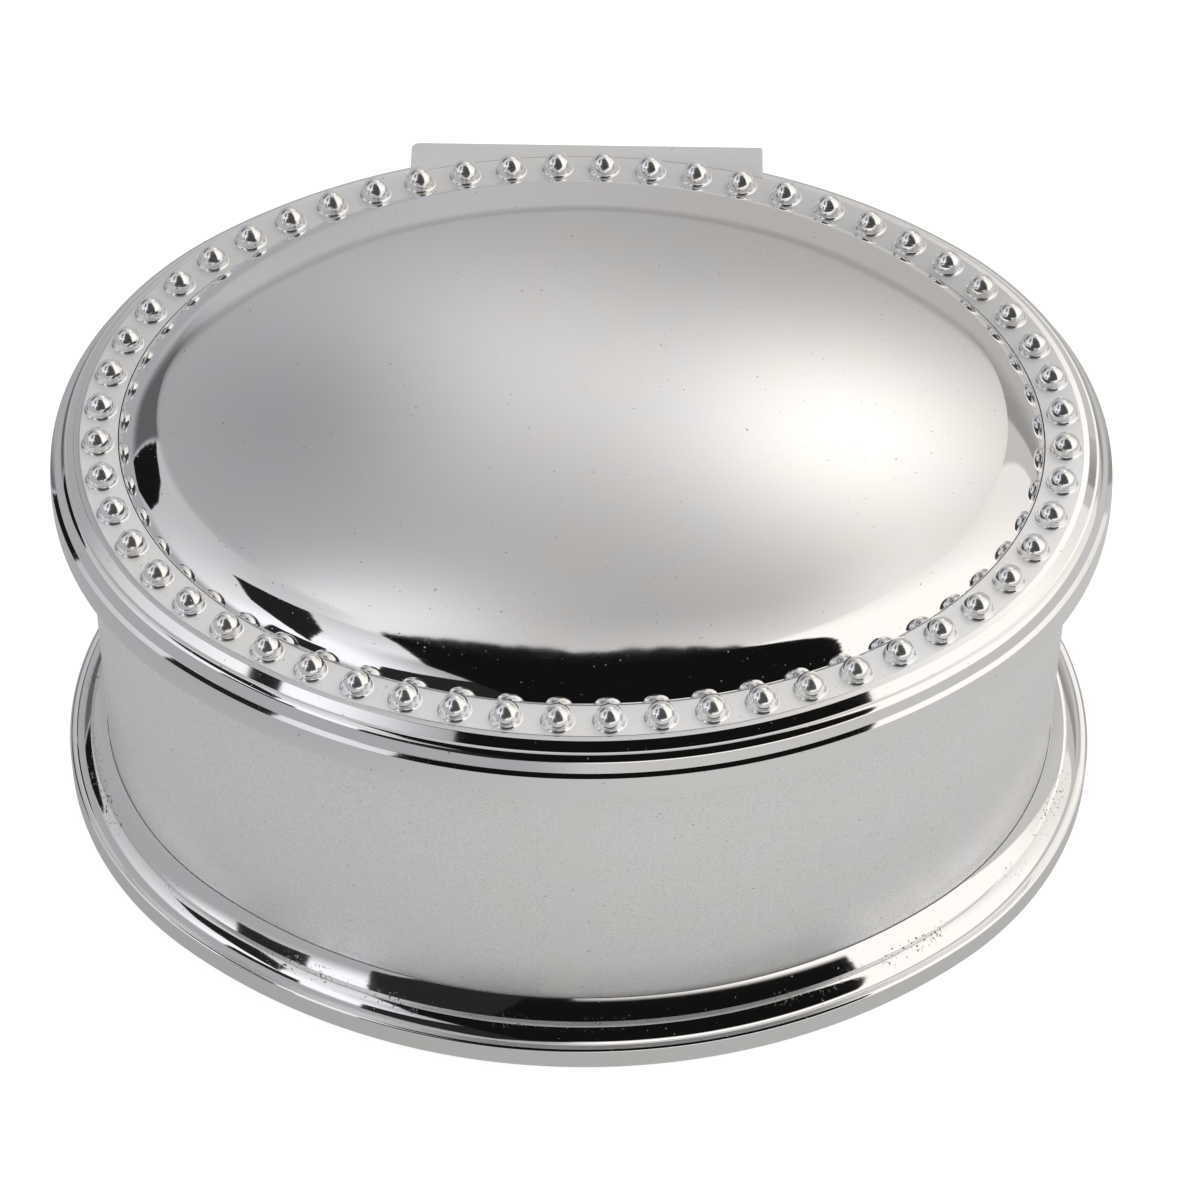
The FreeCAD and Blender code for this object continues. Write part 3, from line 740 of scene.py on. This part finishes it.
nodes, size = shape_tree("turned_and_stretched", [
    ("Radius", "NodeSocketFloat"), ("Stretch", "NodeSocketFloat"), ("Steps", "NodeSocketInt"),
    ("Finish", "NodeSocketMaterial")])
ring = nodes.add("GeometryNodeCurvePrimitiveCircle", {"mode": "RADIUS"}, {
    "Resolution": size["Steps"], "Radius": size["Radius"]})
closed = nodes.add("GeometryNodeMergeByDistance", None, {
    "Geometry": carried(nodes, ring, size["Geometry"]), "Distance": 1e-6})
scale = nodes.add("ShaderNodeCombineXYZ", None, {0: size["Stretch"], 1: 1.0, 2: 1.0})
stretched = nodes.add("GeometryNodeTransform", None, {"Geometry": closed, "Scale": scale})
turned_tree = end_tree(nodes, stretched, size["Finish"])


def turned_shape(name, section, half_width, half_length, finish, steps=320, crease=40):
    """Section of (radius, height) points, from the axis round to the axis, turned and stretched."""
    start = bpy.data.meshes.new("section")
    start.from_pydata([((radius - half_width) * MM, -height * MM, 0) for radius, height in section],
                      [(i, i + 1) for i in range(len(section) - 1)], [])
    piece = grown(name, turned_tree, start, {
        "Radius": half_width * MM, "Stretch": half_length / half_width, "Steps": steps,
        "Finish": finish})
    return finish_mesh(piece, crease)


def crown(radius, edge_height, rise, steps):
    """Points of a shallow arc from the edge to the middle."""
    bow = (radius ** 2 + rise ** 2) / (2 * rise)
    opening = math.asin(radius / bow)
    angles = [opening * (1 - step / steps) for step in range(steps + 1)]
    return [(bow * math.sin(angle), edge_height + rise - bow * (1 - math.cos(angle)))
            for angle in angles]


def sheet_inside(radius, height):
    """Point on the inner face of the sheet; near the axis it closes onto the pole."""
    inner = radius - SHEET
    return inner if inner > POLE else 0, height - SHEET if height > TRACK_HEIGHT + 0.1 else height


outside = [(DOME_HALF_WIDTH, TRACK_BOTTOM), (DOME_HALF_WIDTH, TRACK_HEIGHT)]
outside += arc(outside[-1], (ROLL_INNER, ROLL_TOP), ROLL_RADIUS, -1, 24)
outside += crown(ROLL_INNER, ROLL_TOP, CROWN_RISE, 70)[1:]
inside = [sheet_inside(*point) for point in outside]
dome = turned_shape("lid_dome_sheet", inside[::-1] + outside, DOME_HALF_WIDTH, DOME_HALF_LENGTH,
                    silver_dome)
report(dome)

# %% [markdown]
# Fifty-six beads stand on the track at even steps. A bead that is cast with its border is a ball
# that runs out into the track in a small fillet, and that fillet shows as a bright ring. One
# bead is turned from that outline, and a tree sets it on points of the bead line. It starts
# the count where the CAD does, so every bead lies on its solid.

# %% Bead border
BEADS = 56
FIRST_BEAD = 0.6
BEAD_RADIUS = 1.15 * MM
BEAD_LIFT = 0.4 * MM
BEAD_FILLET = 0.25 * MM
BEAD_SLICES = 32


def outline_arc(centre, radius, first, last, steps):
    """Points (reach, height) on an arc between two angles."""
    angles = [first + (last - first) * step / steps for step in range(steps + 1)]
    return [(centre[0] + radius * math.cos(a), centre[1] + radius * math.sin(a)) for a in angles]


fillet_height = BEAD_FILLET - BEAD_LIFT
fillet_reach = math.sqrt((BEAD_RADIUS + BEAD_FILLET) ** 2 - fillet_height ** 2)
meeting = math.atan2(fillet_height, fillet_reach)
ball = outline_arc((0, 0), BEAD_RADIUS, math.pi / 2, meeting, 14)
fillet = outline_arc((fillet_reach, fillet_height), BEAD_FILLET,
                     math.pi + meeting, 1.5 * math.pi, 7)
bead_outline = [(0, BEAD_RADIUS), *ball[1:], *fillet[1:], (0, -BEAD_LIFT)]

one_bead = spun("one_bead", [(reach, 0, height) for reach, height in bead_outline],
                (0, 0, 0), (0, 0, 1), BEAD_SLICES)

nodes, size = shape_tree("bead_border", LINE_SOCKETS + [
    ("Count", "NodeSocketInt"), ("Start", "NodeSocketFloat"), ("Height", "NodeSocketFloat"),
    ("Finish", "NodeSocketMaterial")])
number = nodes.add("GeometryNodeInputIndex")
on_line = line_place(size, number + size["Start"], size["Count"], size["Height"])
bead_tree = end_tree(nodes, copies(nodes, size, on_line), size["Finish"])
border = finish_mesh(grown("beads", bead_tree, one_bead, {
    **LINE_SIZES, "Count": BEADS, "Start": FIRST_BEAD, "Height": TRACK_HEIGHT * MM + BEAD_LIFT,
    "Finish": silver_beads}))
report(border)

# %% [markdown]
# At the back a flat tab fills the gap in the rim, flush with the track, and a matching plate is
# soldered to the wall below it, sloped off underneath. Both are flat plates cut from a plan and
# then bevelled, because a real sawn plate never has a razor edge.

# %% Hinge plates
HINGE_BACK = 35.2
PLATE_CORNER, TAB_RIGHT_CORNER = 0.7, 0.3
PLATE_BEVEL = 0.07 * MM
TAB_OFFSET, TAB_BOTTOM = 1.55, 35.4
BEARER_OFFSET, BEARER_BOTTOM, BEARER_TOP = 1.45, 31.5, 35.3
SLOPE_START, SLOPE_FACES = Vector((0, 33.6, BEARER_BOTTOM)), Vector((0, 1.8, -1.6))


def plate_plan(offset, left_corner, right_corner):
    """Plan of a hinge plate: the oval line in front, a straight back with two rounded corners."""
    plan = back_line(offset, HINGE_HALF) + [(HINGE_HALF, HINGE_BACK - right_corner)]
    plan += arc(plan[-1], (HINGE_HALF - right_corner, HINGE_BACK), right_corner, -1, 6)
    plan.append((left_corner - HINGE_HALF, HINGE_BACK))
    plan += arc(plan[-1], (-HINGE_HALF, HINGE_BACK - left_corner), left_corner, -1, 6)
    return plan


def bevelled(piece):
    """Take the razor edges off a plate."""
    modifier = piece.modifiers.new("bevel", "BEVEL")
    modifier.width = PLATE_BEVEL
    modifier.segments = 2
    modifier.limit_method = "ANGLE"
    modifier.angle_limit = math.radians(40)
    mesh = worked_out(piece)
    piece.modifiers.remove(modifier)
    piece.data = mesh
    return finish_mesh(piece, 30)


def plate(mesh, finish):
    """Object for a plate's mesh, with its finish."""
    mesh.materials.append(finish)
    return linked(mesh.name, mesh)


tab_plan = plate_plan(TAB_OFFSET, PLATE_CORNER, TAB_RIGHT_CORNER)
tab = plate(plate_mesh("hinge_tab", tab_plan, TAB_BOTTOM, TRACK_HEIGHT), silver_rim)
bevelled(carved(tab, groove_tool()))
report(tab)

bearer_plan = plate_plan(BEARER_OFFSET, PLATE_CORNER, PLATE_CORNER)
bearer_mesh = plate_mesh("hinge_bearer", bearer_plan, BEARER_BOTTOM, BEARER_TOP)
shell = bmesh.new()
shell.from_mesh(bearer_mesh)
bmesh.ops.bisect_plane(shell, geom=shell.verts[:] + shell.edges[:] + shell.faces[:],
                       plane_co=SLOPE_START * MM, plane_no=SLOPE_FACES.normalized(),
                       clear_outer=True)
bmesh.ops.holes_fill(shell, edges=[edge for edge in shell.edges if edge.is_boundary])
bmesh.ops.recalc_face_normals(shell, faces=shell.faces)
shell.to_mesh(bearer_mesh)
shell.free()
bearer = plate(bearer_mesh, silver_rim)
bevelled(carved(bearer, groove_tool()))
report(bearer)

# %% [markdown]
# The hinge has five knuckles on one pin, three on the box and two on the lid between them. They
# repeat along the pin, so a third tree sets one tube on a row of points, once for each body.

# %% Hinge knuckles
KNUCKLE_LENGTH = 6.06
KNUCKLE_STEP = 6.16
KNUCKLE_END = ((0.1, 0.9), (0.03, 0.87), (0.0, 0.8))
BOX_BORE, LID_BORE = 0.46, 0.48

nodes, size = shape_tree("knuckle_row", [
    ("Count", "NodeSocketInt"), ("First", "NodeSocketFloat"), ("Step", "NodeSocketFloat"),
    ("Finish", "NodeSocketMaterial")])
number = nodes.add("GeometryNodeInputIndex")
along = nodes.add("ShaderNodeCombineXYZ", None, {0: size["First"] + number * size["Step"]})
knuckle_tree = end_tree(nodes, copies(nodes, size, along), size["Finish"])


def knuckle_row(name, count, first, bore):
    """Knuckles of one body, at every second place along the pin."""
    half = KNUCKLE_LENGTH / 2
    right_end = [(half - inset, radius) for inset, radius in KNUCKLE_END] + [(half, bore)]
    left_end = [(-x, radius) for x, radius in reversed(right_end)]
    tube = on_hinge(name, left_end + right_end, hollow=True)
    piece = grown(name, knuckle_tree, tube, {
        "Count": count, "First": first * MM, "Step": 2 * KNUCKLE_STEP * MM, "Finish": silver_rim})
    return finish_mesh(piece, 30)


box_knuckles = knuckle_row("box_knuckles", 3, -2 * KNUCKLE_STEP, BOX_BORE)
lid_knuckles = knuckle_row("lid_knuckles", 2, -KNUCKLE_STEP, LID_BORE)
report(box_knuckles)
report(lid_knuckles)

# %% [markdown]
# Inside, a velvet strip is glued round the wall, and two thin pads cover the floor and the lid.
# A pad is velvet pulled over wadding on a board: crowned in the middle, tight and tucked under at
# the edge, with a few shallow dimples where the wadding is uneven. Code moves the points for that,
# because the pads are thinner than a cloth simulation could tell from a flat sheet.

# %% Linings
STRIP_PROFILE = [(-0.8, 2.1), (-0.1, 2.1), (-0.1, 34.7), (-0.8, 34.7)]
PAD_SHOULDER, PAD_TUCK = 1.2, 0.8
PAD_EDGE = ((0.25, 0.12), (0.03, 0.45), (0.15, 0.75), (0.55, 0.95))
DIMPLE_DEPTH = 0.08 * MM

strip = moulding("velvet_strip", STRIP_PROFILE, velvet, soft=0.2)
report(strip)


def pad(name, half_width, half_length, base, edge, top, finish):
    """Crowned pad from its board at base to its middle at top, with an edge that tucks under."""
    way = 1 if top > base else -1
    section = [(0, base), (half_width - PAD_TUCK, base)]
    section += [(half_width - inset, base + share * (edge - base)) for inset, share in PAD_EDGE]
    face = crown(half_width - PAD_SHOULDER, edge, abs(top - edge), 36)
    section += [(radius, edge + way * (height - edge)) for radius, height in face]
    piece = turned_shape(name, section, half_width, half_length, finish, steps=220, crease=80)
    for vertex in piece.data.vertices:
        x, y, z = vertex.co / MM
        height = abs(z - base)
        if height > 0.2:
            wide = noise.noise(Vector((x * 0.09, y * 0.09, base)))
            small = noise.noise(Vector((x * 0.3, y * 0.3, base)))
            dimple = DIMPLE_DEPTH * (0.6 + wide + 0.5 * small)
            vertex.co.z -= way * dimple * min(1, height / abs(top - base))
    return piece


floor_pad = pad("floor_pad", 31.1, 38.9, base=3.0, edge=5.1, top=6.0, finish=velvet)
lid_pad = pad("lid_pad", 32.5, 40.3, base=36.2, edge=35.35, top=34.7, finish=velvet)
report(floor_pad)
report(lid_pad)

# %% [markdown]
# The felt under the base is one flat oval sheet. Its edge is the same oval line, filled in.

# %% Felt
FELT_OFFSET, FELT_BOTTOM, FELT_TOP = 1.1, 0.3, 1.1

felt_sheet = plate(plate_mesh("felt_sheet", oval_plan(FELT_OFFSET), FELT_BOTTOM, FELT_TOP), felt)
finish_mesh(felt_sheet)
report(felt_sheet)

# %% [markdown]
# Each piece now rides on its body and stands for its solid. The few solids that stay as they are
# only get a finish.

for body, slot, rows in (
        ("box", "silver_plate", (
            (foot, "foot_moulding"), (wall, "body_wall"), (bearer, "base_hinge_bearer"),
            (box_knuckles, "base_knuckle_left", "base_knuckle_centre", "base_knuckle_right"))),
        ("box", "lining_velvet", (
            (strip, "wall_lining_velvet"), (floor_pad, "floor_velvet", "floor_padding"))),
        ("box", "base_felt", ((felt_sheet, "base_felt"),)),
        ("lid", "silver_plate", (
            (rim, "lid_frame"), (dome, "lid_dome"), (border, "bead_border"),
            (tab, "lid_hinge_plate"), (lid_knuckles, "lid_knuckle_left", "lid_knuckle_right"))),
        ("lid", "lining_velvet", ((lid_pad, "lid_velvet", "lid_padding"),))):
    for piece, *stands_for in rows:
        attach(piece, body)
        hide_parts(*stands_for)

for node_name, finish in (("base_plate", silver_hidden), ("hinge_pin", pin_steel),
                          ("wall_lining_card", card), ("floor_board", card), ("lid_board", card)):
    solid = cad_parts[node_name]
    solid.data.materials.clear()
    solid.data.materials.append(finish)

# %% [markdown]
# A mirror needs a studio to mirror. A large tent of light surrounds the box, seen only in
# reflections: pale grey behind and above, a white softbox on the right, a white strip and a pale
# card on the left, and a dark opening on the camera's side. That opening gives the black bands on
# the front of the dome and the mouldings. The tent is painted by direction in its material, as
# on a flat map: degrees across and degrees behind the point straight above the box.

# %% Map of the tent
TENT_RADIUS = 2.0
TENT_FULL = 2.0
TORN = 1.5
BLACK = (0, 0, 0, 1)


def emission(name):
    """Material that only glows; gives the material, the place and the glow."""
    material = bpy.data.materials.new(name)
    material.use_nodes = True
    material.cycles.emission_sampling = "NONE"
    tree = material.node_tree
    tree.nodes.remove(tree.nodes["Principled BSDF"])
    nodes = Nodes(tree)
    glow = nodes.add("ShaderNodeEmission")
    feed(tree.nodes["Material Output"], "Surface", glow)
    return material, nodes.add("ShaderNodeTexCoord", out="Object"), glow.socket.node


tent_paint, place, glow = emission("tent_paint")
direction = place.nodes.add("ShaderNodeVectorMath", {"operation": "NORMALIZE"}, {0: place})
east, north, high = split(direction)
from_top = high.math("ARCCOSINE") * (180 / math.pi)
flat = (east * east + north * north).math("SQRT").math("MAXIMUM", 1e-6)
across = from_top * east / flat
behind = from_top * north / flat
torn_x, torn_y, _ = split(cloud(direction, 0.05, 4.0, 0.65).output("Color"))
torn_across = across + (torn_x - 0.5) * TORN
torn_behind = behind + (torn_y - 0.5) * TORN


def patch(at, wide, long):
    """Soft patch of light, placed and measured in degrees across and behind."""
    off_x, off_y = (across - at[0]) / wide, (behind - at[1]) / long
    return (0 - off_x * off_x - off_y * off_y).math("EXPONENT")


def panel(corners, soft=0.25):
    """Panel of the studio with straight, slightly torn edges; corners run anticlockwise."""
    mask = None
    for (x, y), (next_x, next_y) in zip(corners, corners[1:] + corners[:1]):
        length = math.hypot(next_x - x, next_y - y)
        inward = (torn_across - x) * ((y - next_y) / length)
        inward = inward + (torn_behind - y) * ((next_x - x) / length)
        edge = fade(inward, -soft, soft)
        mask = edge if mask is None else mask * edge
    return mask


def lay(under, over, mask):
    """One value laid over another through a mask."""
    return under + (over - under) * mask


print("tent of light, radius", TENT_RADIUS)

# %% [markdown]
# The paint goes on in layers, as in a painting. First come the sides and the back of the tent,
# then the round ceiling that the dome's crown mirrors, with its soft patches and its darker
# seam at the back, then the low glow on the left. The black panels lie on top of it all.

# %% Paint of the tent
CEILING_LEVEL = 0.415
CEILING_PATCHES = (
    (0.47, (-9, 45.9), 12.5, 16.8), (0.72, (16.5, 39.8), 11.8, 15.3), (1.0, (-18.2, 10.1), 10.7, 8),
    (1.0, (22.7, 7.7), 5.4, 13.1), (-0.40, (-13.6, 43.9), 10.6, 15.3))
CEILING_MIDDLE, CEILING_WIDE, CEILING_LONG = 43, 25.7, 31.5
BLACK_PANELS = (
    (0.02, [(-17, -44), (-34.5, -43.5), (-46, -64), (-20, -86), (0, -80)]),
    (0.02, [(-45, -38), (-55, -28), (-66, -36), (-54, -50)]),
    (0.008, [(-28, 40.5), (-62, 40), (-68, 30), (-64, 21), (-50, 24.5), (-36, 32)]),
    (0.015, [(-35, 9), (-45, -8), (-47, -34), (-32, -14), (-22, 8.5)]))
OPENING_LEVEL = 0.006
OPENING_HALVES = (
    [(-13, 13.2), (-20, -25), (-10, -90), (0, -90), (0, 10.2)],
    [(-1, 10.2), (-1, -90), (66, -90), (66, -64), (29, -10), (10, 12)])
COLD_CAST, WARM_CAST = (0.985, 0.992, 1.03, 1), (1.04, 1.0, 0.96, 1)

to_right = fade(across, -8, 8)
left_light = fade(behind, 32, -32, 0.54, 0.9)
left_light = lay(left_light, fade(across, -15, -40, 0.38, 1.06), fade(behind, -12, -28))
right_light = lay(fade(behind, 34, -4, 0.84, 1.06), 0.55, fade(behind, 38, 39.5))
sides = lay(left_light, right_light, to_right)
back_light = lay(0.51, 0.465, to_right)
back_light = lay(back_light, 0.12, fade(across, -20, -27) * fade(behind, 64, 52))
back_light = lay(back_light, 0.30, fade(across, 20, 26) * fade(behind, 63, 48))
light = lay(sides, back_light, fade(behind - lay(41, 46, to_right), -0.7, 0.7))

ceiling = CEILING_LEVEL
for strength, at, wide, long in CEILING_PATCHES:
    ceiling = ceiling + strength * patch(at, wide, long)
off_x, off_y = across / CEILING_WIDE, (behind - CEILING_MIDDLE) / CEILING_LONG
off_middle = (off_x * off_x + off_y * off_y).math("SQRT") + 0.075 * fade(behind, 50, 66)
crisp = fade(behind + 15 * fade(across, -8, -16), 26, 36)
ceiling_edge = lay(fade(off_middle, 1.25, 0.88), fade(off_middle, 1.05, 1.03), crisp)
light = lay(light, ceiling, ceiling_edge)
seam = fade(off_middle, 1.015, 1.035) * fade(off_middle, 1.07, 1.05)
light = light - 0.10 * seam * fade(behind, 45, 55)
light = lay(light, 0.40, fade(from_top, 66, 78) * fade(across, -8, -24))

for level, corners in BLACK_PANELS:
    light = lay(light, level, panel(corners))
above_table = fade(from_top, 81, 76)
for corners in OPENING_HALVES:
    light = lay(light, OPENING_LEVEL, panel(corners) * above_table)
cast = mixed(fade(across, -30, 25), COLD_CAST, WARM_CAST)
feed(glow, "Color", mixed(light / TENT_FULL, BLACK, cast))
fix(glow, {"Strength": TENT_FULL})

shell = bmesh.new()
bmesh.ops.create_uvsphere(shell, u_segments=96, v_segments=48, radius=TENT_RADIUS)
low_points = [vertex for vertex in shell.verts if vertex.co.z < -0.01]
bmesh.ops.delete(shell, geom=low_points, context="VERTS")
tent_mesh = mesh_of("light_tent", shell)
tent_mesh.materials.append(tent_paint)
tent = linked("light_tent", tent_mesh)
print("tent painted with", len(tent_paint.node_tree.nodes), "nodes")

# %% [markdown]
# The box stands on a plain pale floor. The photograph's white ground was cleaned up afterwards,
# and its wall mirrors a pale grey table, so a glowing grey card just under the floor stands in
# for the lit table in reflections: a painted reflection, with a painted shadow round the box and
# painted light towards the right. World light and one soft lamp light the floor and the velvet.

# %% Floor, glowing card, lamp and world
WHITE = (1, 1, 1, 1)
FLOOR_RADIUS, FLOOR_DROP, CARD_DROP = 4.0, 0.05 * MM, 0.4 * MM
FLOOR_DARK, FLOOR_PALE = (0.34, 0.34, 0.34, 1), (0.36, 0.36, 0.36, 1)
FLOOR_GLOW = 0.76
TABLE_LIGHT_COLD, TABLE_LIGHT_WARM = (0.90, 0.91, 0.94, 1), (1.0, 0.99, 0.965, 1)
TABLE_SHADOW_LONG, TABLE_SHADOW_WIDE = 0.066, 0.063
LAMP_PLACE, LAMP_SIZE, LAMP_POWER = Vector((0.35, 0.25, 0.7)), 0.5, 2.0


def disc(name, radius, height, finish):
    """Flat round sheet, for the floor and the card."""
    shell = bmesh.new()
    bmesh.ops.create_circle(shell, cap_ends=True, segments=96, radius=radius)
    bmesh.ops.translate(shell, verts=shell.verts, vec=(0, 0, height))
    mesh = mesh_of(name, shell)
    mesh.materials.append(finish)
    return linked(name, mesh)


floor_paint, surface, place = new_finish("floor_paint")
feed(surface, "Base Color", mixed(cloud(place, 0.12), FLOOR_DARK, FLOOR_PALE))
fix(surface, {"Roughness": 0.9, "Specular IOR Level": 0.1, "Emission Color": WHITE,
              "Emission Strength": FLOOR_GLOW})
floor = disc("floor", FLOOR_RADIUS, -FLOOR_DROP, floor_paint)
floor.visible_glossy = False

table_glow_paint, place, glow = emission("table_glow_card_paint")
x, y, _ = split(place)
off_x, off_y = x / TABLE_SHADOW_LONG, y / TABLE_SHADOW_WIDE
reach = (off_x * off_x + off_y * off_y).math("SQRT")
# Painted shadow and painted light: the glow is darker within about 40 mm of the box, where the box
# shades the table, and brighter to the right; the tint runs from cool at the left to warm at the
# right.
table_light_and_shadow = fade(reach, 0.58, 1.0, 0.45, 0.56) * fade(x, -0.085, 0.03, 0.80, 1.03)
tint = mixed(fade(x, -0.09, 0.03), TABLE_LIGHT_COLD, TABLE_LIGHT_WARM)
feed(glow, "Color", mixed(table_light_and_shadow, BLACK, tint))
table_glow_card = disc("table_glow_card", TENT_RADIUS, -CARD_DROP, table_glow_paint)

for mirror_only in (tent, table_glow_card):
    for ray in ("camera", "diffuse", "transmission", "shadow"):
        setattr(mirror_only, "visible_" + ray, False)

lamp_data = bpy.data.lights.new("soft_lamp", "AREA")
lamp_data.size = LAMP_SIZE
lamp_data.energy = LAMP_POWER
lamp = linked("soft_lamp", lamp_data)
lamp.location = LAMP_PLACE
lamp.rotation_euler = (-LAMP_PLACE).to_track_quat("-Z", "Y").to_euler()
lamp.visible_glossy = False

world = bpy.data.worlds.new("studio")
scene.world = world
world.use_nodes = True
fix(world.node_tree.nodes["Background"], {"Color": WHITE, "Strength": 1.0})
world.cycles_visibility.glossy = False
scene.view_settings.view_transform = "Standard"
print("stage ready")
